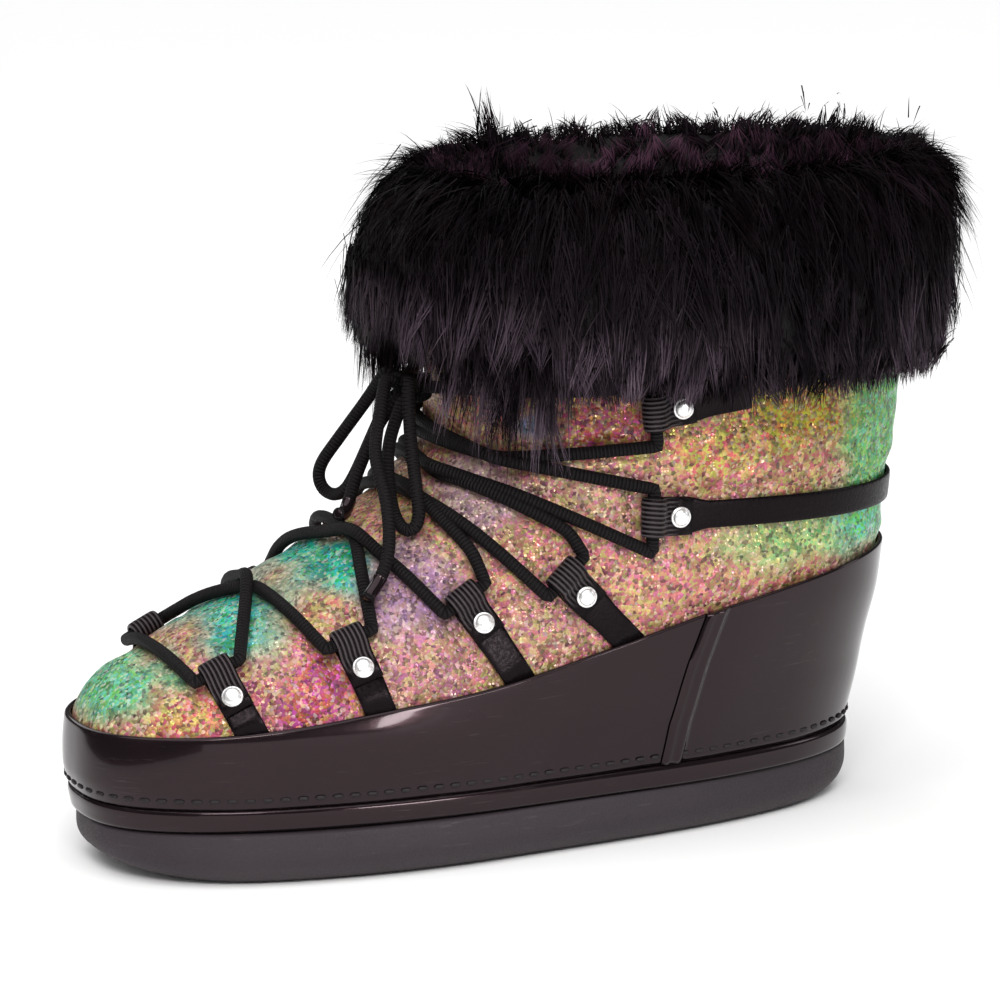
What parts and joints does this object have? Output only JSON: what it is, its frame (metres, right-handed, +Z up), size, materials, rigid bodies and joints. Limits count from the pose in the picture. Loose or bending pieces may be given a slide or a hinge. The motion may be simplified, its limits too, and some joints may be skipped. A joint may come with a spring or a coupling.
{
  "type": "apres ski boot",
  "caption": "Padded ankle-high snow boot with a flat rubber sole, glossy rand, iridescent glitter upper, deep fur cuff and round laces through strap loops.",
  "frame": {"origin": "on the floor, under the middle of the boot's box without the free bow", "axes": "+Z up, -Y toward the toe, +Y toward the heel, +X the side turned to the camera in the picture"},
  "size_m": [0.1746, 0.3256, 0.2353],
  "materials": {
    "sole_rubber": "matte",
    "patent": "gloss",
    "glitter_fabric": "glitter, iridescent",
    "fur": "deep pile",
    "strap": "gloss",
    "rivet_metal": "polished",
    "cord": "braided",
    "felt": "matte"
  },
  "bodies": {
    "root": {"ankle_strap": "strap", "fur_cuff": "fur", "insole": "felt", "lace_crossings": "cord", "lace_end_far": "cord", "lace_end_near": "cord", "lace_knot": "cord", "lace_loop_far": "cord", "lace_loop_near": "cord", "outsole": "sole_rubber", "rand_front": "patent", "rand_heel": "patent", "rivet_1_far": "rivet_metal", "rivet_1_near": "rivet_metal", "rivet_2_far": "rivet_metal", "rivet_2_near": "rivet_metal", "rivet_3_far": "rivet_metal", "rivet_3_near": "rivet_metal", "rivet_4_far": "rivet_metal", "rivet_4_near": "rivet_metal", "rivet_5_far": "rivet_metal", "rivet_5_near": "rivet_metal", "rivet_6_far": "rivet_metal", "rivet_6_near": "rivet_metal", "strap_1_far": "strap", "strap_1_near": "strap", "strap_2_far": "strap", "strap_2_near": "strap", "strap_3_far": "strap", "strap_3_near": "strap", "strap_4_far": "strap", "strap_4_near": "strap", "strap_6_far": "strap", "strap_6_near": "strap", "upper": "glitter_fabric", "welt": "patent"}
  },
  "joints": []
}
